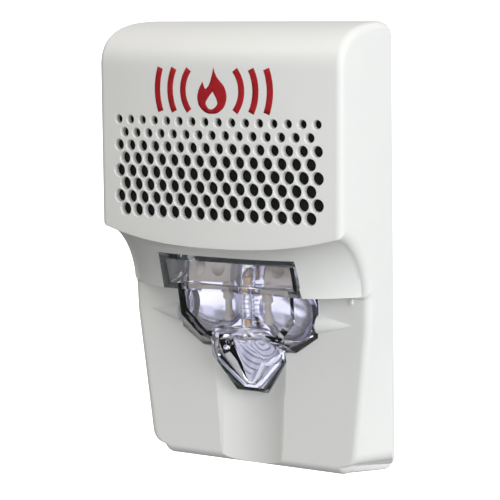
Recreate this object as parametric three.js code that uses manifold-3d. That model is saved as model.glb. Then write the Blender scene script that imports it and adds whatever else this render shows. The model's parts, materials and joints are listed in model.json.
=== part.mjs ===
// Compact wall horn strobe on a one-gang footprint, in millimetres.
// +X is to the right, the front faces -Y and +Z is up. The origin is the centre of the flat back.
import * as THREE from "three";
import { ConvexGeometry } from "three/addons/geometries/ConvexGeometry.js";
import { mergeVertices } from "three/addons/utils/BufferGeometryUtils.js";
import Module from "manifold-3d";

const wasm = await Module();
wasm.setup();

// Driving dimensions.
const WIDTH = 69.85; // one-gang wall plate, 2.75 in
const HEIGHT = 114.3; // one-gang wall plate, 4.5 in
const DEPTH = 31; // back to the crown of the front, at the brow
const GAP = 0.3; // between pieces that touch
const WALL = 2; // moulded wall of the front cover
const BASE_THICKNESS = 1.8;
const BOX_SCREW_SPACING = 83.3; // one-gang box ears, 3.28 in

// Shape of the front cover.
const SIDE_DRAFT = 0.65;
const CROWN = 2.6; // how much the front falls back at its side edges
const FRONT_LEAN = 0.029; // how much the front falls back per mm of height above the brow
const BROW_MIDDLE = 2.7;
const BROW_RISE = 3.5;
const SHELF = -9.7; // height of the lip where the cove ends
const SHELF_DRAFT = 0.8; // how much the underside of the shelf falls towards the lower face
const COVE_POWER = 1.7;
const LIP_SIDE = 14.2; // depth of the lip at the side edges
const LIP_BULGE = 9; // how much further forward the lip is in the middle
const LIP_POWER = 3.5;
const FACE_DEPTH = 13.4; // depth of the flat lower face
const FACE_BOTTOM = -54.2;
const BAND_BACK = 9; // depth where the rounded bottom band reaches the underside
const TOP_ROUND_HEIGHT = 11.5;
const TOP_ROUND_BACK = 4;
const TOP_POWER = 2.8;
const TAPER_START = -18;
const TAPER = 0.107;
const CORNER = 3.2;
const CHANNEL_RADIUS = 23.3;
const CHANNEL_DEPTH = 2.5;
const CHANNEL_TILT = 0.032;
const CHANNEL_Z = -30; // height where the channel has its stated depth
const FAIRING_Z = -17.9;

// Sounder grille.
const GRILLE_PITCH = 3.73;
const GRILLE_TOP = 33.75;
const GRILLE_ROWS = 8;
const GRILLE_LONG_ROW = 16;
const GRILLE_HOLES = [2.2, 2.4, 2.8, 3.1, 3.25]; // hole diameters of the first rows, then the last value

// Insides.
const BOARD_BACK = -4.8;
const BOARD_THICKNESS = 1.6;
const BOARD_FRONT = BOARD_BACK - BOARD_THICKNESS;
const ON_BOARD = BOARD_FRONT - GAP;
const HORN_CENTRE = 21.2;
const HORN_RADIUS = 15.8;
const HORN_FRONT = -24.2;
const HORN_WALL = 1.6;
const PIEZO_SEAT = -14;
const PIEZO_THICKNESS = 0.4;
const INSIDE_HORN = HORN_RADIUS - HORN_WALL - GAP;
const BOARD_SCREWS = [[-26.3, 40.5], [26.3, 40.5], [-26.3, -8], [26.3, -8]]; // [x, z]
const GUIDES = [[30.8, 29], [30.3, -30]]; // [x, z] of the tabs that centre the cover, on both sides
const GUIDE_THICKNESS = 0.8;
const WIRE_ENTRY = [[14, 28], [-8, 1], [-37, -21]]; // spans along x, y and z
const INDUCTOR = [-24, 27]; // [x, z]
const TERMINAL_PITCH = 5.08;
const TERMINAL_COUNT = 4;
const TERMINAL_LEFT = 8.4;
const TERMINAL_Z = -47;
const TERMINAL_FRONT = -9.4;
const SWITCHES = { candela: [-28, -13, 48], tone: [8, 17, 48], volume: [19, 28, 48] }; // [x0, x1, z]
const SWITCH_SLOT_END = 1.2;
const SLIDER_LENGTH = 3;

// Lens, reflector and flash tube.
const LENS_BACK = -7;
const LENS_WALL = 1.6;
const WINDOW_CLEARANCE = 0.4; // between the lens and the edge of its window in the cover
const FLANGE_HALF = 22.4;
const FLANGE_LOW = -40;
const FLANGE_HIGH = 1.4;
const REFLECTOR_FRONT = -11.4;
const TUBE_RADIUS = 1.7;
const TUBE_DEPTH = -13.5;
const TUBE_TOP = -5;
const TUBE_BOTTOM = -23;

// The lens is four convex forms that overlap. Each is the hull of its points [x, y, z].
const bothSides = (points) => points.flatMap(([x, y, z]) => [[x, y, z], [-x, y, z]]);
const UPPER_BLOCK = bothSides([
  [19.3, LENS_BACK, -0.3], [19.3, LENS_BACK, -9.7], [19.3, -25.2, -0.3], [19.3, -22.9, -9.7],
]);
const RIGHT_LOBE = [
  [0, LENS_BACK, -4], [18.2, LENS_BACK, -4], [20, LENS_BACK, -11.5], [20, LENS_BACK, -15.5],
  [19.7, LENS_BACK, -21.5], [13.6, LENS_BACK, -25.8], [0, LENS_BACK, -27],
  [18.2, -13.4, -4], [20, -13.4, -11.5], [20, -13.4, -15.5], [19.7, -13.4, -21.5], [13.6, -13.4, -25.8],
  [0, -21.6, -4], [16.8, -20.4, -4], [16.8, -20.4, -9.7],
  [16.5, -19.4, -17], [11.5, -18.2, -22.5], [0, -19.5, -22],
];
const LEFT_LOBE = RIGHT_LOBE.map(([x, y, z]) => [-x, y, z]);
const BEAK = bothSides([
  [8.6, LENS_BACK, -19], [10.6, LENS_BACK, -28.5], [4.2, LENS_BACK, -37.6],
  [10.6, -14, -28.5], [4.2, -12, -37.6],
  [8.6, -18.6, -20], [3, -23.2, -19], [7.2, -17.6, -29], [3, -14.8, -36.6],
]);
const LENS_FORMS = [UPPER_BLOCK, RIGHT_LOBE, LEFT_LOBE, BEAK];

const HALF_W = WIDTH / 2;
const HALF_H = HEIGHT / 2;
const HALF_FRONT = HALF_W - SIDE_DRAFT;
const COVER_BACK = -BASE_THICKNESS - GAP;
const BOX_SCREW_Z = BOX_SCREW_SPACING / 2;

// Materials.
const material = (color, roughness, metalness = 0) =>
  new THREE.MeshStandardMaterial({ color, roughness, metalness });
const whitePlastic = () => material(0xe6e6e2, 0.45);
const blackPlastic = () => material(0x1b1c1e, 0.5);
const steel = () => material(0xb8bcc0, 0.3, 1);

// Geometry helpers.
function solidOf(geometry) {
  const plain = geometry.clone();
  plain.deleteAttribute("normal");
  plain.deleteAttribute("uv");
  const merged = mergeVertices(plain, 1e-4);
  const triangles = [];
  for (let i = 0; i < merged.index.count; i += 3) {
    const [a, b, c] = merged.index.array.subarray(i, i + 3);
    if (a !== b && b !== c && c !== a) triangles.push(a, b, c);
  }
  const mesh = new wasm.Mesh({
    numProp: 3,
    vertProperties: new Float32Array(merged.getAttribute("position").array),
    triVerts: new Uint32Array(triangles),
  });
  return new wasm.Manifold(mesh);
}

function geometryOf(solid) {
  const mesh = solid.getMesh();
  const geometry = new THREE.BufferGeometry();
  geometry.setAttribute("position", new THREE.BufferAttribute(new Float32Array(mesh.vertProperties), 3));
  geometry.setIndex(new THREE.BufferAttribute(new Uint32Array(mesh.triVerts), 1));
  geometry.computeVertexNormals();
  return geometry;
}

function box([x0, x1], [y0, y1], [z0, z1]) {
  const geometry = new THREE.BoxGeometry(x1 - x0, y1 - y0, z1 - z0);
  return solidOf(geometry.translate((x0 + x1) / 2, (y0 + y1) / 2, (z0 + z1) / 2));
}

// A cylinder along Y between two depths.
function boreY(x, z, radius, y0, y1, sides = 24) {
  const geometry = new THREE.CylinderGeometry(radius, radius, y1 - y0, sides);
  return solidOf(geometry.translate(x, (y0 + y1) / 2, z));
}

function rodX(x0, x1, y, z, radius, sides = 24) {
  const geometry = new THREE.CylinderGeometry(radius, radius, x1 - x0, sides).rotateZ(Math.PI / 2);
  return solidOf(geometry.translate((x0 + x1) / 2, y, z));
}

function rodZ(x, y, z0, z1, radius, sides = 24) {
  const geometry = new THREE.CylinderGeometry(radius, radius, z1 - z0, sides).rotateX(Math.PI / 2);
  return solidOf(geometry.translate(x, y, (z0 + z1) / 2));
}

function hull(points) {
  return solidOf(new ConvexGeometry(points.map((p) => new THREE.Vector3(...p))));
}

// A rectangle with rounded corners, as a slab between two depths.
function roundedSlab(halfWidth, halfHeight, radius, y0, y1) {
  const shape = new THREE.Shape();
  shape.moveTo(halfWidth, radius - halfHeight);
  shape.absarc(halfWidth - radius, halfHeight - radius, radius, 0, Math.PI / 2, false);
  shape.absarc(radius - halfWidth, halfHeight - radius, radius, Math.PI / 2, Math.PI, false);
  shape.absarc(radius - halfWidth, radius - halfHeight, radius, Math.PI, 1.5 * Math.PI, false);
  shape.absarc(halfWidth - radius, radius - halfHeight, radius, 1.5 * Math.PI, 2 * Math.PI, false);
  const options = { depth: y1 - y0, bevelEnabled: false, curveSegments: 4 };
  return solidOf(new THREE.ExtrudeGeometry(shape, options).rotateX(Math.PI / 2).translate(0, y1, 0));
}

const joined = (solids) => solids.reduce((sum, next) => sum.add(next));
const cut = (solid, tools) => tools.reduce((left, tool) => left.subtract(tool), solid);

// Front cover: its outer skin is a grid of side profiles, one for each station across the width.
const cornerInset = (distance, radius) =>
  distance >= radius ? 0 : radius - Math.sqrt(Math.max(0, radius ** 2 - (radius - distance) ** 2));

function frontHalfWidth(z) {
  const taper = TAPER * Math.max(0, TAPER_START - z);
  return HALF_FRONT - taper - cornerInset(Math.max(0, z - FACE_BOTTOM), CORNER);
}

const backHalfWidth = (z) => HALF_W - cornerInset(HALF_H - Math.abs(z), CORNER);
const crownFall = (share) => CROWN * share * share;
const lipDepth = (share) => LIP_SIDE + LIP_BULGE * (1 - Math.abs(share) ** LIP_POWER);

// The side profile, from the top of the back edge round the front to the bottom: points [y, z].
// An inset makes the profile of the hollow behind the wall, which runs out through the open back.
function coverProfile(share, steps, inset) {
  const crown = DEPTH - crownFall(share);
  const front = crown - inset;
  const brow = BROW_MIDDLE + BROW_RISE * Math.abs(share) ** 2.5 + inset;
  const shelf = SHELF + inset;
  const roundStart = HALF_H - TOP_ROUND_HEIGHT;
  const upper = front - FRONT_LEAN * (roundStart - brow);
  const back = inset > 0 ? 1 : COVER_BACK;
  const points = [[back, HALF_H - inset]];
  for (let i = 0; i <= steps; i++) {
    const angle = (i / steps) * (Math.PI / 2);
    const out = TOP_ROUND_BACK + (upper - TOP_ROUND_BACK) * Math.sin(angle) ** (2 / TOP_POWER);
    const up = roundStart + (TOP_ROUND_HEIGHT - inset) * Math.cos(angle) ** (2 / TOP_POWER);
    points.push([-out, up]);
  }
  for (let i = 0; i <= steps; i++) {
    const angle = (i / steps) * (Math.PI / 2);
    const out = front - (crown - lipDepth(share)) * Math.sin(angle) ** (2 / COVE_POWER);
    const up = shelf + (brow - shelf) * Math.cos(angle) ** (2 / COVE_POWER);
    points.push([-out, up]);
  }
  const face = FACE_DEPTH - inset;
  const bottom = FACE_BOTTOM + inset;
  points.push([-face, shelf - SHELF_DRAFT], [-face, TAPER_START]);
  for (const rise of [1, 0.4, 0.1, 0]) {
    points.push([-face, bottom + rise * CORNER]);
  }
  for (const angle of [0.52, 1.05, Math.PI / 2]) {
    const out = BAND_BACK - inset + (FACE_DEPTH - BAND_BACK) * Math.cos(angle);
    points.push([-out, bottom - (HALF_H + FACE_BOTTOM) * Math.sin(angle)]);
  }
  points.push([back, inset - HALF_H]);
  return points;
}

// A closed surface: one grid of points over the front and sides, and a flat one over the back.
function coverBody(facets, steps, inset) {
  const stations = Array.from({ length: facets + 1 }, (_, i) => (2 * i) / facets - 1);
  const rows = coverProfile(0, steps, inset).length;
  const shares = [-1, ...stations, 1];
  const positions = [];
  const index = [];
  const addGrid = (flat) => {
    const first = positions.length / 3;
    shares.forEach((share, c) => {
      const rim = c === 0 || c === shares.length - 1;
      const profile = coverProfile(share, steps, inset);
      const back = profile[0][0];
      for (const [y, z] of profile) {
        const onBack = flat || rim || y === back;
        const half = (onBack ? backHalfWidth(z) : frontHalfWidth(z)) - inset;
        positions.push(share * half, onBack ? back : y, z);
      }
    });
    for (let c = 0; c + 1 < shares.length; c++) {
      for (let r = 0; r + 1 < rows; r++) {
        const [a, b] = [first + c * rows + r, first + (c + 1) * rows + r];
        const square = [a, a + 1, b + 1, a, b + 1, b];
        index.push(...(flat ? square.reverse() : square));
      }
    }
  };
  addGrid(false);
  addGrid(true);
  const geometry = new THREE.BufferGeometry();
  geometry.setAttribute("position", new THREE.BufferAttribute(new Float32Array(positions), 3));
  geometry.setIndex(index);
  return solidOf(geometry);
}

// The shallow channel down the lower face, as the round form that hollows it out.
function channelForm(extra) {
  const radius = CHANNEL_RADIUS + extra;
  const [below, above] = [30, 15];
  const geometry = new THREE.CylinderGeometry(radius, radius, below + above, 72).rotateX(Math.PI / 2);
  geometry.translate(0, 0, (above - below) / 2).rotateX(-CHANNEL_TILT);
  return solidOf(geometry.translate(0, CHANNEL_DEPTH - FACE_DEPTH - CHANNEL_RADIUS, CHANNEL_Z));
}

// Pointed fairings that run from the sides of the lens out to the edges of the lower face.
function fairing(side) {
  const [rootX, proud, halfHeight] = [side * 18, 2.6, 2.9];
  const root = [0, 0.25, 0.5, 0.75, 1].map((turn) => {
    const angle = turn * Math.PI;
    return [rootX, -FACE_DEPTH - proud * Math.sin(angle), FAIRING_Z + halfHeight * Math.cos(angle)];
  });
  const inner = [-halfHeight, halfHeight].map((rise) => [rootX, 1 - FACE_DEPTH, FAIRING_Z + rise]);
  const tip = [[side * 29.5, -FACE_DEPTH, FAIRING_Z + 0.3], [side * 29, 1 - FACE_DEPTH, FAIRING_Z]];
  return hull([...root, ...inner, ...tip]);
}

function grilleHoles() {
  const tools = [];
  for (let row = 0; row < GRILLE_ROWS; row++) {
    const count = GRILLE_LONG_ROW - (row % 2);
    const radius = GRILLE_HOLES[Math.min(row, GRILLE_HOLES.length - 1)] / 2;
    const z = GRILLE_TOP - row * GRILLE_PITCH * Math.sin(Math.PI / 3);
    for (let i = 0; i < count; i++) {
      tools.push(boreY((i - (count - 1) / 2) * GRILLE_PITCH, z, radius, -DEPTH - 1, -DEPTH + 8, 6));
    }
  }
  return wasm.Manifold.compose(tools);
}

// The front outline of a convex piece, widened all round and swept along Y.
function sweptOutline(points, clearance, y0, y1) {
  const turns = [0, 1, 2, 3, 4, 5, 6, 7].map((i) => (i * Math.PI) / 4);
  const corners = points.flatMap(([x, , z]) =>
    turns.map((a) => [x + clearance * Math.cos(a), z + clearance * Math.sin(a)]),
  );
  return hull(corners.flatMap(([x, z]) => [[x, y0, z], [x, y1, z]]));
}

const lensOutline = (clearance, y0, y1) =>
  joined(LENS_FORMS.map((form) => sweptOutline(form, clearance, y0, y1)));

function frontCover() {
  const outside = joined([coverBody(10, 7, 0), fairing(-1), fairing(1)]).subtract(channelForm(0));
  const hollow = coverBody(10, 4, WALL).subtract(channelForm(WALL));
  return cut(outside, [hollow, grilleHoles(), lensOutline(WINDOW_CLEARANCE, -DEPTH - 1, 0)]);
}

// Thin cloth behind the grille, bent to the crown of the front.
function grilleScreen() {
  const halfWidth = 31;
  const [low, high] = [8.5, 36.5];
  const shares = [-1, -0.6, -0.2, 0.2, 0.6, 1];
  const strips = shares.slice(1).map((right, i) => {
    const corners = [shares[i], right].flatMap((share) =>
      [low, high].flatMap((z) => {
        const x = share * halfWidth;
        const inside = WALL + GAP - DEPTH + crownFall(x / HALF_FRONT) + FRONT_LEAN * (z - BROW_MIDDLE);
        return [[x, inside + 0.1, z], [x, inside + 0.5, z]];
      }),
    );
    return hull(corners);
  });
  return joined(strips);
}

// Lens, reflector and flash tube.
function bowl(x, y, z, rx, ry, rz) {
  return solidOf(new THREE.SphereGeometry(1, 14, 8).scale(rx, ry, rz).translate(x, y, z));
}

// A form of the lens with its sides and front drawn in, run out through the open back.
function insetForm(form, inset) {
  const heights = form.map(([, , z]) => z);
  const middle = (Math.min(...heights) + Math.max(...heights)) / 2;
  return form.map(([x, y, z]) => [
    Math.sign(x) * Math.max(0, Math.abs(x) - inset),
    y === LENS_BACK ? LENS_BACK + 1 : Math.min(y + inset, LENS_BACK - 1),
    z + Math.sign(middle - z) * inset,
  ]);
}

function lens() {
  const flange = box([-FLANGE_HALF, FLANGE_HALF], [LENS_BACK - 1.2, LENS_BACK], [FLANGE_LOW, FLANGE_HIGH]);
  const outside = joined([...LENS_FORMS.map((form) => hull(form)), flange]);
  return cut(outside, LENS_FORMS.map((form) => hull(insetForm(form, LENS_WALL))));
}

// Collar round the lens, as deep as the wall of the cover leaves room for.
function lensGasket() {
  const [front, back] = [GAP + WALL - FACE_DEPTH, LENS_BACK - 1.5];
  const ring = lensOutline(2, front, back).subtract(lensOutline(GAP, front - 1, back + 1));
  return ring.subtract(channelForm(WALL + GAP));
}

// Moulded tray behind the flash tube: a bowl to each side of it and a trough along the upper block.
function reflector() {
  const forms = LENS_FORMS.map((form) => insetForm(form, LENS_WALL + GAP));
  const depthSpan = box([-HALF_W, HALF_W], [REFLECTOR_FRONT, LENS_BACK + GAP], [-HALF_H, HALF_H]);
  const tray = joined(forms.map((form) => hull(form))).intersect(depthSpan);
  const bowls = [
    bowl(-9.8, REFLECTOR_FRONT, -16.4, 7.2, 3.6, 5.4),
    bowl(9.8, REFLECTOR_FRONT, -16.4, 7.2, 3.6, 5.4),
    bowl(0, REFLECTOR_FRONT, -5, 15.5, 3, 2.6),
    bowl(0, REFLECTOR_FRONT, -28, 4.5, 3, 6),
  ];
  const tubeRoom = rodZ(0, TUBE_DEPTH, -40, 5, TUBE_RADIUS + 1, 16);
  const leadHoles = [TUBE_TOP + 1.2, TUBE_BOTTOM - 1.2].map((z) => boreY(0, z, 1, -13, 0, 12));
  return cut(tray, [...bowls, tubeRoom, ...leadHoles]);
}

const flashTube = () => rodZ(0, TUBE_DEPTH, TUBE_BOTTOM + 1.5, TUBE_TOP - 1.5, TUBE_RADIUS, 16);
const tubeCap = (z) => rodZ(0, TUBE_DEPTH, z - 0.6, z + 0.6, TUBE_RADIUS, 16);

// The wire from a tube cap back to the circuit board.
const tubeLead = (z) => boreY(0, z, 0.45, TUBE_DEPTH - 0.45, ON_BOARD, 8);

// Sounder.
const ring = (x, z, outer, inner, y0, y1, sides = 32) =>
  boreY(x, z, outer, y0, y1, sides).subtract(boreY(x, z, inner, y0 - 1, y1 + 1, sides));

function hornHousing() {
  const cup = boreY(0, HORN_CENTRE, HORN_RADIUS, HORN_FRONT, ON_BOARD, 32);
  const front = boreY(0, HORN_CENTRE, HORN_RADIUS - HORN_WALL, HORN_FRONT - 1, PIEZO_SEAT, 32);
  const back = boreY(0, HORN_CENTRE, HORN_RADIUS - 2 * HORN_WALL, PIEZO_SEAT - 1, ON_BOARD - 1.5, 32);
  const leadHole = boreY(0, HORN_CENTRE, 2, -9, 0, 12);
  return cut(cup, [front, back, leadHole]);
}

const piezoPlate = () =>
  boreY(0, HORN_CENTRE, INSIDE_HORN, PIEZO_SEAT - GAP - PIEZO_THICKNESS, PIEZO_SEAT - GAP, 32);
const piezoCeramic = () => boreY(0, HORN_CENTRE, 10, PIEZO_SEAT, PIEZO_SEAT + PIEZO_THICKNESS, 24);

function piezoRetainer() {
  const back = PIEZO_SEAT - 2 * GAP - PIEZO_THICKNESS;
  return ring(0, HORN_CENTRE, INSIDE_HORN, INSIDE_HORN - 1.8, back - 1.6, back);
}

function hornCap() {
  const [front, back] = [HORN_FRONT - GAP - 1.5, HORN_FRONT - GAP];
  const ports = [0, 1, 2, 3, 4, 5].map((i) => {
    const angle = (i * Math.PI) / 3;
    return boreY(7.5 * Math.cos(angle), HORN_CENTRE + 7.5 * Math.sin(angle), 2.4, front - 1, back + 1, 12);
  });
  const middle = boreY(0, HORN_CENTRE, 2.4, front - 1, back + 1, 12);
  return cut(boreY(0, HORN_CENTRE, HORN_RADIUS, front, back, 32), [...ports, middle]);
}

function hornGasket() {
  const back = HORN_FRONT - 2 * GAP - 1.5;
  return ring(0, HORN_CENTRE, HORN_RADIUS - 0.5, HORN_RADIUS - 3, back - 0.5, back);
}

// Base plate, circuit board and what sits on them.
function basePlate() {
  const plate = roundedSlab(HALF_W - GAP, HALF_H - GAP, CORNER, -BASE_THICKNESS, 0);
  const root = 0.5 - BASE_THICKNESS;
  const standoffs = BOARD_SCREWS.map(([x, z]) => boreY(x, z, 3, BOARD_BACK + GAP, root, 16));
  const guides = GUIDES.flatMap(([x, z]) =>
    [-1, 1].map((side) => {
      const across = [side * x - GUIDE_THICKNESS / 2, side * x + GUIDE_THICKNESS / 2];
      return box(across, [-8, root], [z - 5, z + 5]);
    }),
  );
  const screwHoles = BOARD_SCREWS.map(([x, z]) => boreY(x, z, 1.3, BOARD_BACK - 1, -0.8, 12));
  const slots = [-1, 1].map((side) => {
    const z = side * BOX_SCREW_Z;
    const ends = [-1.5, 1.5].map((x) => boreY(x, z, 2, -4, 1, 16));
    return joined([box([-1.5, 1.5], [-4, 1], [z - 2, z + 2]), ...ends]);
  });
  return cut(joined([plate, ...standoffs, ...guides]), [...screwHoles, ...slots, box(...WIRE_ENTRY)]);
}

function circuitBoard() {
  const board = box([-29.5, 29.5], [BOARD_FRONT, BOARD_BACK], [-37.4, 52.5]);
  const notch = box([WIRE_ENTRY[0][0] - 1, 40], [-10, 0], [-60, WIRE_ENTRY[2][1] + 1]);
  const holes = BOARD_SCREWS.map(([x, z]) => boreY(x, z, 1.6, -10, 0, 12));
  return cut(board, [notch, ...holes, boreY(0, BOX_SCREW_Z, 4.6, -10, 0, 24)]);
}

function boardScrew([x, z]) {
  const head = boreY(x, z, 2.5, ON_BOARD - 1.5, ON_BOARD, 16);
  const shank = boreY(x, z, 1, ON_BOARD - 0.5, -1.6, 12);
  const [long, short] = [1.6, 0.35];
  const cross = [
    box([x - long, x + long], [ON_BOARD - 2, ON_BOARD - 0.8], [z - short, z + short]),
    box([x - short, x + short], [ON_BOARD - 2, ON_BOARD - 0.8], [z - long, z + long]),
  ];
  return cut(joined([head, shank]), cross);
}

// Four-way terminal strip with a well, a wire mouth, a screw and a clamp plate in each way.
const terminalX = (way) => TERMINAL_LEFT + TERMINAL_PITCH * (way + 0.5);

function terminalBlock() {
  const right = TERMINAL_LEFT + TERMINAL_PITCH * TERMINAL_COUNT;
  const height = [TERMINAL_Z - 4.5, TERMINAL_Z + 4.5];
  const body = box([TERMINAL_LEFT, right], [TERMINAL_FRONT, COVER_BACK], height);
  const hollows = [];
  for (let way = 0; way < TERMINAL_COUNT; way++) {
    const x = terminalX(way);
    hollows.push(boreY(x, TERMINAL_Z, 2.15, TERMINAL_FRONT - 1, -6.5, 16));
    hollows.push(box([x - 1.75, x + 1.75], [-7.2, -3.4], [TERMINAL_Z - 2, TERMINAL_Z + 6]));
  }
  return cut(body, hollows);
}

function terminalScrew(way) {
  const x = terminalX(way);
  const head = boreY(x, TERMINAL_Z, 1.9, TERMINAL_FRONT + 0.4, -7.6, 16);
  const shank = boreY(x, TERMINAL_Z, 0.9, -7.8, -3.8, 12);
  const across = [TERMINAL_Z - 0.3, TERMINAL_Z + 0.3];
  const slot = box([x - 2.5, x + 2.5], [TERMINAL_FRONT, TERMINAL_FRONT + 1.1], across);
  return joined([head, shank]).subtract(slot);
}

function terminalClamp(way) {
  const x = terminalX(way);
  const plate = box([x - 1.5, x + 1.5], [-5.3, -4.6], [TERMINAL_Z - 1.6, TERMINAL_Z + 1.6]);
  return plate.subtract(boreY(x, TERMINAL_Z, 1.15, -6, -4, 12));
}

// Slide switches: a body with a long slot and a slider with a knob that stands out of it.
function switchBody([x0, x1, z]) {
  const body = box([x0, x1], [ON_BOARD - 3.4, ON_BOARD], [z - 2.6, z + 2.6]);
  const along = [x0 + SWITCH_SLOT_END, x1 - SWITCH_SLOT_END];
  const slot = box(along, [ON_BOARD - 4, ON_BOARD - 1], [z - 1.3, z + 1.3]);
  return body.subtract(slot);
}

function switchSlider([x0, , z]) {
  const left = x0 + SWITCH_SLOT_END + GAP;
  const foot = box([left, left + SLIDER_LENGTH], [ON_BOARD - 2.6, ON_BOARD - 1.3], [z - 1, z + 1]);
  const grip = [left + 0.6, left + SLIDER_LENGTH - 0.6];
  const knob = box(grip, [ON_BOARD - 4.6, ON_BOARD - 2], [z - 0.9, z + 0.9]);
  return joined([foot, knob]);
}

function inductorCore() {
  const [x, z] = INDUCTOR;
  const flanges = [ON_BOARD - 1.2, ON_BOARD - 9].map((y) => boreY(x, z, 5.4, y, y + 1.2, 20));
  return joined([...flanges, boreY(x, z, 2.4, ON_BOARD - 8.5, ON_BOARD - 0.5, 16)]);
}

const inductorWinding = () =>
  ring(INDUCTOR[0], INDUCTOR[1], 4.9, 2.7, ON_BOARD - 7.5, ON_BOARD - 1.5, 20);

const block = ([x0, x1], height, z) => box([x0, x1], [ON_BOARD - height, ON_BOARD], z);

// Assembly: everything fixed is in one group, and the lift-off cover and its screen in another.
function piece(group, name, solid, look) {
  const mesh = new THREE.Mesh(geometryOf(solid), look);
  mesh.name = name;
  group.add(mesh);
}

function coverAssembly() {
  const group = new THREE.Group();
  piece(group, "front_cover", frontCover(), whitePlastic());
  piece(group, "grille_screen", grilleScreen(), material(0x101112, 0.95));
  return group;
}

function strobe() {
  const group = new THREE.Group();
  piece(group, "lens", lens(), material(0xe8e8f4, 0.05));
  piece(group, "lens_gasket", lensGasket(), material(0x202124, 0.9));
  piece(group, "reflector", reflector(), material(0xd8dade, 0.08, 1));
  piece(group, "flash_tube", flashTube(), material(0xdfe6ea, 0.05));
  piece(group, "tube_cap_upper", tubeCap(TUBE_TOP - 0.5), steel());
  piece(group, "tube_cap_lower", tubeCap(TUBE_BOTTOM + 0.5), steel());
  piece(group, "tube_lead_upper", tubeLead(TUBE_TOP + 1.2), steel());
  piece(group, "tube_lead_lower", tubeLead(TUBE_BOTTOM - 1.2), steel());
  return group;
}

function sounder() {
  const group = new THREE.Group();
  piece(group, "horn_housing", hornHousing(), blackPlastic());
  piece(group, "piezo_ceramic", piezoCeramic(), material(0xd9d4c8, 0.4));
  piece(group, "piezo_plate", piezoPlate(), material(0xc79a4b, 0.3, 1));
  piece(group, "piezo_retainer", piezoRetainer(), blackPlastic());
  piece(group, "horn_cap", hornCap(), blackPlastic());
  piece(group, "horn_gasket", hornGasket(), material(0x2a2b2e, 0.95));
  return group;
}

function electronics() {
  const group = new THREE.Group();
  piece(group, "circuit_board", circuitBoard(), material(0x2f6b45, 0.5));
  BOARD_SCREWS.forEach((place, i) => piece(group, "board_screw_" + (i + 1), boardScrew(place), steel()));
  piece(group, "flash_capacitor", rodZ(25.2, ON_BOARD - 6.1, 10, 35, 6), material(0x24304f, 0.4));
  piece(group, "trigger_transformer", block([-29, -19.5], 9, [6, 17]), material(0xd8c25a, 0.5));
  piece(group, "inductor_core", inductorCore(), material(0x3a3b3d, 0.6));
  piece(group, "inductor_winding", inductorWinding(), material(0xb4652f, 0.35, 1));
  piece(group, "control_chip", block([-29, -23.5], 1.6, [-24, -14]), blackPlastic());
  piece(group, "bridge_rectifier", block([23.5, 29], 2.6, [-2, 5]), blackPlastic());
  piece(group, "power_transistor", block([-29, -23.4], 2.3, [-3, 4]), blackPlastic());
  for (const [name, place] of Object.entries(SWITCHES)) {
    piece(group, name + "_switch_body", switchBody(place), blackPlastic());
    piece(group, name + "_switch_slider", switchSlider(place), whitePlastic());
  }
  return group;
}

function wiring() {
  const group = new THREE.Group();
  piece(group, "terminal_block", terminalBlock(), material(0x2f8f5a, 0.5));
  for (let way = 0; way < TERMINAL_COUNT; way++) {
    piece(group, "terminal_screw_" + (way + 1), terminalScrew(way), steel());
    piece(group, "terminal_clamp_" + (way + 1), terminalClamp(way), steel());
  }
  return group;
}

const horn_strobe = new THREE.Group();
piece(horn_strobe, "base_plate", basePlate(), whitePlastic());
horn_strobe.add(wiring(), electronics(), sounder(), strobe(), coverAssembly());

export default horn_strobe;
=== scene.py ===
import json
import math

import bmesh
import bpy
from mathutils import Matrix, Vector


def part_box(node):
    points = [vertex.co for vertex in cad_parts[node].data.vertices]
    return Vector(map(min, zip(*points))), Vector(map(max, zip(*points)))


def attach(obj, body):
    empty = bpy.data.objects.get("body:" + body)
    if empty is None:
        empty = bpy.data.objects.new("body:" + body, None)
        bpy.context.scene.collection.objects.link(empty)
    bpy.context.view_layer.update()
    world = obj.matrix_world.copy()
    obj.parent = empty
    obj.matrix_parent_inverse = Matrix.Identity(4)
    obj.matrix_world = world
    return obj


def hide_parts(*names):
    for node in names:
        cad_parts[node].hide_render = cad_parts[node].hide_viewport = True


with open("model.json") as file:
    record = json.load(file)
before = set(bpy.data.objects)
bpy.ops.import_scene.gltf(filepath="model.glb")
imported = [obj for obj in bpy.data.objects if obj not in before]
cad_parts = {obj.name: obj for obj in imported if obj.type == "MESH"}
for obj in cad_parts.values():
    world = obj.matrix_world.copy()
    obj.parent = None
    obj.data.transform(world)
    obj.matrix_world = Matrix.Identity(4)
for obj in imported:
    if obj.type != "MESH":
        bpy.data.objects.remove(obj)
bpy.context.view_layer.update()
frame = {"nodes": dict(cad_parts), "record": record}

NODES = frame["nodes"]
MM = 0.001

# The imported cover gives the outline; the profile constants are those of the moulding.
COVER_LOW, COVER_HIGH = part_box("front_cover")
HALF_W = COVER_HIGH.x / MM
HALF_H = COVER_HIGH.z / MM
DEPTH = -COVER_LOW.y / MM
COVER_BACK = COVER_HIGH.y / MM
WALL = 2.0
SIDE_DRAFT = 0.65
CROWN = 2.6
FRONT_LEAN = 0.029
BROW_MIDDLE, BROW_RISE = 2.7, 3.5
SHELF, SHELF_DRAFT, COVE_POWER = -9.7, 0.8, 1.7
LIP_SIDE, LIP_BULGE, LIP_POWER = 14.2, 9.0, 3.5
LIP_HEIGHT, LIP_CHAMFER, FACE_FILLET = 0.25, 0.15, 0.3
FACE_DEPTH, FACE_BOTTOM, BAND_BACK = 13.4, -54.2, 9.0
TOP_ROUND_HEIGHT, TOP_ROUND_BACK, TOP_POWER = 11.5, 4.0, 2.8
TAPER_TOP, TAPER_START, TAPER, CORNER = -4.0, -18.0, 0.107, 3.2
CHANNEL_RADIUS, CHANNEL_DEPTH, CHANNEL_TILT, CHANNEL_Z = 23.3, 2.5, 0.032, -30.0
FAIRING_Z = -17.9
EDGE_RADIUS = 2.0
BROW_RADIUS = 1.0
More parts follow.
